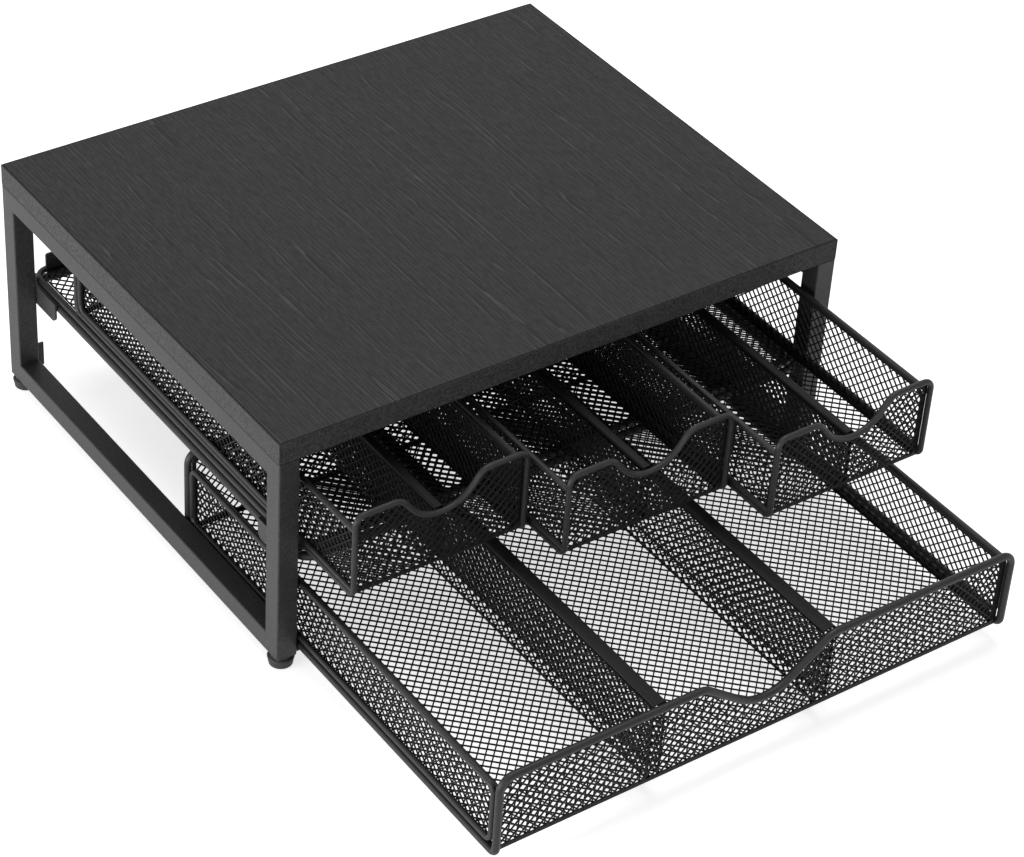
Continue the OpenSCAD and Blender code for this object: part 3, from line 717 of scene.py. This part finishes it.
def rim_outline(half, low, top, corner, scoop=None):
    """A panel's outline: square at its foot, round and maybe scooped at its top."""
    xs = [half]
    for k in range(1, CORNER_STEPS + 1):
        xs.append(half - corner * (1 - math.cos(k / CORNER_STEPS * math.pi / 2)))
    if scoop:
        xs += [scoop.half * (1 - k / SCOOP_STEPS) for k in range(SCOOP_STEPS)] + [0.0]
    xs = sorted({round(x, 7) for x in xs} | {round(-x, 7) for x in xs}, reverse=True)

    def height(x):
        cut = 0.0
        if corner and abs(x) > half - corner:
            cut = corner - math.sqrt(max(0.0, corner ** 2 - (abs(x) - half + corner) ** 2))
        return top - max(cut, scoop.drop(x) if scoop else 0.0)

    return [(-half, low), (half, low)] + [(x, height(x)) for x in xs]


print("diagonals per 100 mm", round(0.1 / DIAMOND, 1))

# %% [markdown]
# ## One panel
# A panel is drawn flat, with x across and y up, and then set in place by three vectors.
# The hem is a ring of faces between the outline and its inset, given the sheet's
# thickness. The two directions of strands lie a hair's breadth apart in depth, so that
# their faces don't flicker where they cross.

# %% Panel builder
LAYER = 0.06 * MM   # how far each direction of strands lies off the sheet's middle


def hem_ring(bm, outline, inner, thickness):
    """A closed ring of sheet between two outlines of equal length."""
    rings = []
    for pts, z in ((outline, -1), (outline, 1), (inner, 1), (inner, -1)):
        rings.append([bm.verts.new((p[0], p[1], z * thickness / 2)) for p in pts])
    n = len(outline)
    for k in range(4):
        a, b = rings[k], rings[(k + 1) % 4]
        for i in range(n):
            j = (i + 1) % n
            bm.faces.new((a[i], a[j], b[j], b[i]))


def expanded_sheet(name, outline, hem, place):
    """Expanded metal in an outline; place maps its flat x, y, z to the model."""
    bm = bmesh.new()
    hem_ring(bm, outline, inset(outline, hem), SHEET)
    bmesh.ops.recalc_face_normals(bm, faces=bm.faces)
    for line in strand_lines([tuple(p) for p in inset(outline, hem / 2)], DIAMOND):
        bm.edges.new([bm.verts.new((x, y, sign * LAYER)) for x, y, sign in line])
    obj = bake_tree(new_object(name, as_mesh(bm, name)), mesh_tree, {"Coat": mesh_coat})
    obj.data.transform(place)
    return obj


def panel(name, outline, hem, place, body, node):
    """An expanded sheet that stands for one CAD node."""
    obj = expanded_sheet(name, outline, hem, place)
    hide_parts(node)
    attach(obj, body)


def frame_of(origin, across, up):
    """A matrix whose x runs across, whose y runs up and whose z is their normal."""
    x, y = Vector(across), Vector(up)
    return Matrix.Translation(origin) @ Matrix((x, y, x.cross(y))).transposed().to_4x4()


X, Y, Z = Vector((1, 0, 0)), Vector((0, 1, 0)), Vector((0, 0, 1))
print("panel builder ready")

# %% [markdown]
# ## The panels of the drawers
# The front and rear panels stand behind their arches, and their corners follow the bend
# of the wire. The side panels hang inside their wire frames, and the floor closes the
# basket. Where the floor turns up into the front there is no wire: the sheet is folded
# there, and a flat floor panel and a flat front panel stand for it.

# %% Drawer panels
LAP = 1.0 * MM          # how far a panel reaches in behind its wire
BELOW = 0.8 * MM        # how far an end panel reaches below the runners' middle
END_HEM = 0.3 * MM      # an end panel's hem, past the wire's radius
SIDE_HEM = 1.9 * MM
SIDE_CORNER = 5 * MM
FLOOR_HEM = 1.6 * MM

for body, d in DRAWERS.items():
    lo, hi, r = d["lo"], d["hi"], d["r"]
    mid = (lo.x + hi.x) / 2
    half = (hi.x - lo.x) / 2 - r + LAP
    corner = d["corner"] * MM - (r - LAP)
    for end, scoop in (("front", d["scoop"]), ("rear", None)):
        b0, b1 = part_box(f"{body}_{end}_mesh")
        outline = rim_outline(half, -BELOW, hi.z - lo.z, corner, scoop)
        place = frame_of(Vector((mid, (b0.y + b1.y) / 2, lo.z)), X, Z)
        panel(f"{body}_{end}_panel", outline, r + END_HEM, place, body, f"{body}_{end}_mesh")
    for side in ("left", "right"):
        b0, b1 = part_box(f"{body}_{side}_mesh")
        outline = rim_outline((b1.y - b0.y) / 2, 0.0, b1.z - b0.z, SIDE_CORNER)
        place = frame_of(Vector(((b0.x + b1.x) / 2, (b0.y + b1.y) / 2, b0.z)), Y, Z)
        panel(f"{body}_{side}_panel", outline, SIDE_HEM, place, body, f"{body}_{side}_mesh")
    b0, b1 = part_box(f"{body}_floor")
    outline = rim_outline((b1.x - b0.x) / 2, b0.y, b1.y, 0.0)
    place = frame_of(Vector((mid, 0, (b0.z + b1.z) / 2)), X, Y)
    panel(f"{body}_floor_panel", outline, FLOOR_HEM, place, body, f"{body}_floor")

# %% [markdown]
# ## Dividers
# A divider is one strip of expanded metal folded into an upside-down U: two walls and a
# cap. The sheet was left solid where the cap is, and the two folds are round, which gives
# the cap its soft edge. The walls are panels, and the cap is a bent strip between them.

# %% Dividers
FOLD = 1.6 * MM         # the outer radius of a fold
FOLD_STEPS = 6
SKIRT = 1.2 * MM        # how far the cap reaches down past its folds
WALL_HEM = 1.4 * MM
WALL_BELOW_TOP = 1.8 * MM


def cap_section(width):
    """The outline of a cap's cross section: its outer side, then its inner side back."""
    section = []
    for r, order in ((FOLD, 1), (FOLD - SHEET, -1)):
        arc = []
        for s in (-1, 1):
            cx = s * (width / 2 - FOLD)
            for k in range(FOLD_STEPS + 1):
                a = math.pi / 2 * (k / FOLD_STEPS)
                a = math.pi - a if s < 0 else math.pi / 2 - a
                arc.append((cx + r * math.cos(a), -FOLD + r * math.sin(a)))
        x, z = width / 2 - (FOLD - r), -FOLD - SKIRT
        section += [(-x, z), *arc, (x, z)][::order]
    return section


def cap_strip(name, width, length, centre):
    """A solid cap with round folds, over the tops of two walls."""
    section = cap_section(width)
    bm = bmesh.new()
    ends = [[bm.verts.new((x, y, z)) for x, z in section] for y in (-length / 2, length / 2)]
    n = len(section)
    for i in range(n):
        j = (i + 1) % n
        bm.faces.new((ends[0][i], ends[0][j], ends[1][j], ends[1][i]))
    h = n // 2
    for e in ends:
        for i in range(h - 1):
            bm.faces.new((e[i], e[i + 1], e[n - 2 - i], e[n - 1 - i]))
    bmesh.ops.recalc_face_normals(bm, faces=bm.faces)
    mesh = as_mesh(bm, name)
    for f in mesh.polygons:
        f.use_smooth = abs(f.normal.y) < 0.5
    obj = new_object(name, mesh, mesh_coat)
    mesh.transform(Matrix.Translation(centre))
    return obj


def divider(node, body):
    """Two walls of expanded metal and the cap that joins them, as one piece."""
    b0, b1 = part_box(node)
    centre, size = (b0 + b1) / 2, b1 - b0
    top = Vector((centre.x, centre.y, b1.z))
    pieces = [cap_strip(node + "_cap", size.x, size.y, top)]
    outline = rim_outline(size.y / 2, 0.0, size.z - WALL_BELOW_TOP, 0.0)
    for s in (-1, 1):
        foot = Vector((centre.x + s * (size.x / 2 - SHEET / 2), centre.y, b0.z))
        pieces.append(expanded_sheet(node + "_wall", outline, WALL_HEM, frame_of(foot, Y, Z)))
    obj = join(pieces, node + "_folded")
    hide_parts(node)
    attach(obj, body)


for body in ("left_drawer", "middle_drawer", "right_drawer"):
    divider(body + "_divider", body)
divider("lower_left_divider", "lower_drawer")
divider("lower_right_divider", "lower_drawer")

# %% [markdown]
# ## The shelf
# The shelf is one more panel, flat, on a wire rim with round corners. Its own corners are
# cut off, so that they end on the bends of that wire.

# %% Shelf mesh
SHELF_HEM = 0.8 * MM
SHELF_CUT = 7.2 * MM

b0, b1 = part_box("shelf_mesh")
half = (b1.x - b0.x) / 2
cut_x, cut_front, cut_rear = half - SHELF_CUT, b0.y + SHELF_CUT, b1.y - SHELF_CUT
shelf = [(-cut_x, b0.y), (cut_x, b0.y), (half, cut_front), (half, cut_rear),
         (cut_x, b1.y), (-cut_x, b1.y), (-half, cut_rear), (-half, cut_front)]
panel("shelf_panel", shelf, SHELF_HEM, frame_of(Vector((0, 0, (b0.z + b1.z) / 2)), X, Y),
      "stand", "shelf_mesh")
print("shelf", round(b1.x - b0.x, 4), "by", round(b1.y - b0.y, 4))

# %% [markdown]
# ## The board
# The film covers the two faces, and a band of the same film is glued round the edges. Its
# joint shows as a hair line just under the top face. So the board is a core with four
# bands, each with a small bevel of its own.

# %% Board with edge bands
BAND = 0.9 * MM          # how thick an edge band is
BAND_BEVEL = 0.3 * MM
CORE_BEVEL = 0.25 * MM
BAND_LOW = 0.1 * MM      # how far a band stops short of the board's underside
BAND_HIGH = 0.12 * MM    # and of its top, where the hair line shows


def bevelled_box(bm, lo, hi, bevel):
    """A box between two corners, with all its edges broken."""
    made = bmesh.ops.create_cube(bm, size=1)["verts"]
    for v in made:
        v.co = Vector([(lo[i] if v.co[i] < 0 else hi[i]) for i in range(3)])
    edges = {e for v in made for e in v.link_edges}
    bmesh.ops.bevel(bm, geom=list(edges), offset=bevel, segments=2, affect="EDGES")


def box_object(name, boxes, bevel, material):
    """Several broken-edged boxes in one object."""
    bm = bmesh.new()
    for lo, hi in boxes:
        bevelled_box(bm, lo, hi, bevel)
    return new_object(name, as_mesh(bm, name), material)


b0, b1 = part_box("top_board")
left, right, front, rear = b0.x + BAND, b1.x - BAND, b0.y + BAND, b1.y - BAND
core = box_object("board_core", [((left, front, b0.z), (right, rear, b1.z))],
                  CORE_BEVEL, board_film)
low, high = b0.z + BAND_LOW, b1.z - BAND_HIGH
bands = box_object("board_edge_bands",
                   [((b0.x, b0.y, low), (left, b1.y, high)),
                    ((right, b0.y, low), (b1.x, b1.y, high)),
                    ((left, b0.y, low), (right, front, high)),
                    ((left, rear, low), (right, b1.y, high))],
                   BAND_BEVEL, edge_film)
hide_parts("top_board")
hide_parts("top_board")
for obj in (core, bands):
    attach(obj, "stand")
print("board", [round(v, 4) for v in b1 - b0])

# %% [markdown]
# ## Screws
# Six button-head screws hold the board, driven up through the top rails with a 2.5 mm
# hexagon key. They are all alike, so one screw is made once, by turning its profile round
# the axis, and a tree puts it on a point per screw. Where the profile runs down into the
# socket, its rings are hexagons in place of circles.

# %% Screw tree
HEAD_RADIUS = 3.7 * MM
HEAD_HEIGHT = 2.2 * MM
TURN_STEPS = 24


def turned_ring(bm, radius, z, hexagon):
    """One ring of a turned shape: a point on the axis, a circle or a hexagon."""
    if radius == 0:
        return [bm.verts.new((0, 0, z * MM))]
    ring = []
    for k in range(TURN_STEPS):
        a = 2 * math.pi * k / TURN_STEPS
        off = (a + math.pi / 6) % (math.pi / 3) - math.pi / 6 if hexagon else 0.0
        reach = radius * MM / math.cos(off)
        ring.append(bm.verts.new((reach * math.cos(a), reach * math.sin(a), z * MM)))
    return ring


def screw_mesh():
    """A button head, 7.4 mm wide, whose socket looks down, and its shank."""
    bm = bmesh.new()
    # radius and height of each ring, in millimetres
    socket = [(0.0, -0.8), (1.25, -0.9), (1.25, -2.15)]
    outside = [(2.2, -2.1), (3.1, -1.6), (3.7, -0.5), (3.7, 0.0),
               (1.9, 0.0), (1.9, 20.0), (0.0, 21.6)]
    rings = [turned_ring(bm, r, z, True) for r, z in socket]
    rings += [turned_ring(bm, r, z, False) for r, z in outside]
    for a, b in zip(rings, rings[1:]):
        for k in range(TURN_STEPS):
            j = (k + 1) % TURN_STEPS
            if len(a) == 1:
                bm.faces.new((a[0], b[j], b[k]))
            elif len(b) == 1:
                bm.faces.new((a[k], a[j], b[0]))
            else:
                bm.faces.new((a[k], a[j], b[j], b[k]))
    bmesh.ops.recalc_face_normals(bm, faces=bm.faces)
    return as_mesh(bm, "screw")


screw_tree, screw_in = new_tree("screws on points", [
    ("Screw", "NodeSocketObject", None), ("Finish", "NodeSocketMaterial", None)])
t = screw_tree
points = add(t, "GeometryNodeMeshToPoints", {"Mesh": screw_in.outputs["Geometry"]})
one = add(t, "GeometryNodeObjectInfo", {"Object": screw_in.outputs["Screw"]})
copies = add(t, "GeometryNodeInstanceOnPoints", {"Points": points.outputs[0],
                                                 "Instance": one.outputs["Geometry"]})
real = add(t, "GeometryNodeRealizeInstances", {"Geometry": copies.outputs[0]})
soft = add(t, "GeometryNodeSetShadeSmooth", {"Geometry": real.outputs[0]})
done = add(t, "GeometryNodeSetMaterial", {"Geometry": soft.outputs[0],
                                          "Material": screw_in.outputs["Finish"]})
add(t, "NodeGroupOutput", {"Geometry": done.outputs[0]})

s0, s1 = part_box("board_screws")
places = [(x, y, s0.z + HEAD_HEIGHT) for x in (s0.x + HEAD_RADIUS, s1.x - HEAD_RADIUS)
          for y in (s0.y + HEAD_RADIUS, (s0.y + s1.y) / 2, s1.y - HEAD_RADIUS)]
mesh = bpy.data.meshes.new("screw_points")
mesh.from_pydata(places, [], [])
pattern = new_object("screw_pattern", screw_mesh())
screws = bake_tree(new_object("board_screw_set", mesh), screw_tree,
                   {"Screw": pattern, "Finish": oxide})
screws.data.set_sharp_from_angle(angle=math.radians(40))
bpy.data.objects.remove(pattern)
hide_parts("board_screws")
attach(screws, "stand")
print("screws", len(places), "faces", len(screws.data.polygons))

# %% [markdown]
# ## Floor and light
# Catalogue pictures of black goods use a white sweep and one big lamp from the side. The
# lamp at the left makes the left faces clearly lighter than the fronts, a weaker one
# overhead lays a soft sheen on the board, and a dim white tent fills the rest. The floor
# is white to the camera and to reflections, and keeps only a light contact shadow.

# %% Floor, world and lamps
NEAR, FAR = 0.6, 1.5     # metres from the object over which the floor's own white grows


def seen_white(tree):
    """A node that gives one where the camera or a reflection looks, and zero elsewhere."""
    ray = add(tree, "ShaderNodeLightPath")
    sharp = add(tree, "ShaderNodeMath", {0: ray.outputs["Is Camera Ray"],
                                         1: ray.outputs["Is Glossy Ray"]}, operation="MAXIMUM")
    return add(tree, "ShaderNodeMath", {0: sharp.outputs[0],
                                        1: ray.outputs["Is Transmission Ray"]},
               operation="MAXIMUM")


def white_sweep():
    """Matt white vinyl, with some white of its own that grows away from the object."""
    material, tree, shader, place = new_material(
        "white_sweep", {"Base Color": linear("#f6f6f6"), "Roughness": 0.9,
                        "Specular IOR Level": 0.1})
    away = add(tree, "ShaderNodeVectorMath", {0: place}, operation="LENGTH")
    own = add(tree, "ShaderNodeMapRange", {"Value": away.outputs["Value"], "From Min": NEAR,
                                           "From Max": FAR, "To Min": 0.72, "To Max": 1.0})
    white = add(tree, "ShaderNodeMath", {0: seen_white(tree).outputs[0],
                                         1: own.outputs["Result"]}, operation="MULTIPLY")
    glow = add(tree, "ShaderNodeEmission", {"Color": (1, 1, 1, 1),
                                            "Strength": white.outputs[0]})
    both = add(tree, "ShaderNodeAddShader", {0: shader.outputs[0], 1: glow.outputs[0]})
    out = next(n for n in tree.nodes if n.type == "OUTPUT_MATERIAL")
    tree.links.new(both.outputs[0], out.inputs["Surface"])
    return material


mesh = bpy.data.meshes.new("floor")
mesh.from_pydata([(-6, -6, 0), (6, -6, 0), (6, 6, 0), (-6, 6, 0)], [], [(0, 1, 2, 3)])
floor = new_object("floor", mesh, white_sweep())
floor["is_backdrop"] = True

world = bpy.data.worlds.new("studio")
bpy.context.scene.world = world
world.use_nodes = True
tree = world.node_tree
tree.nodes.clear()
tent = add(tree, "ShaderNodeBackground", {"Color": (1, 1, 1, 1), "Strength": 0.15})
clear = add(tree, "ShaderNodeBackground", {"Color": (1, 1, 1, 1), "Strength": 1.0})
mix = add(tree, "ShaderNodeMixShader", {0: seen_white(tree).outputs[0],
                                        1: tent.outputs[0], 2: clear.outputs[0]})
add(tree, "ShaderNodeOutputWorld", {"Surface": mix.outputs[0]})


def softbox(name, place, target, size, watts):
    """A soft lamp, size wide and high, that looks at the target."""
    data = bpy.data.lights.new(name, "AREA")
    data.shape, data.size, data.size_y, data.energy = "RECTANGLE", *size, watts
    lamp = bpy.data.objects.new(name, data)
    bpy.context.scene.collection.objects.link(lamp)
    ahead = (Vector(target) - Vector(place)).normalized()
    turn = ahead.to_track_quat("-Z", "Y").to_matrix().to_4x4()
    lamp.matrix_world = Matrix.Translation(place) @ turn


softbox("left_softbox", (-2.4, 0.1, 0.36), (0, 0.1, 0.1), (2.0, 0.6), 53)
softbox("top_softbox", (0.2, 0.5, 2.6), (0, 0.1, 0.1), (1.8, 1.8), 32)
softbox("front_softbox", (-1.0, -2.5, 0.4), (0, 0, 0.1), (1.2, 0.6), 12)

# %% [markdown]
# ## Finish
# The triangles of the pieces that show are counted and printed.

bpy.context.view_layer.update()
triangles = sum(len(p.vertices) - 2 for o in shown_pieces() if o.type == "MESH"
                for p in o.data.polygons)
print("triangles", triangles)
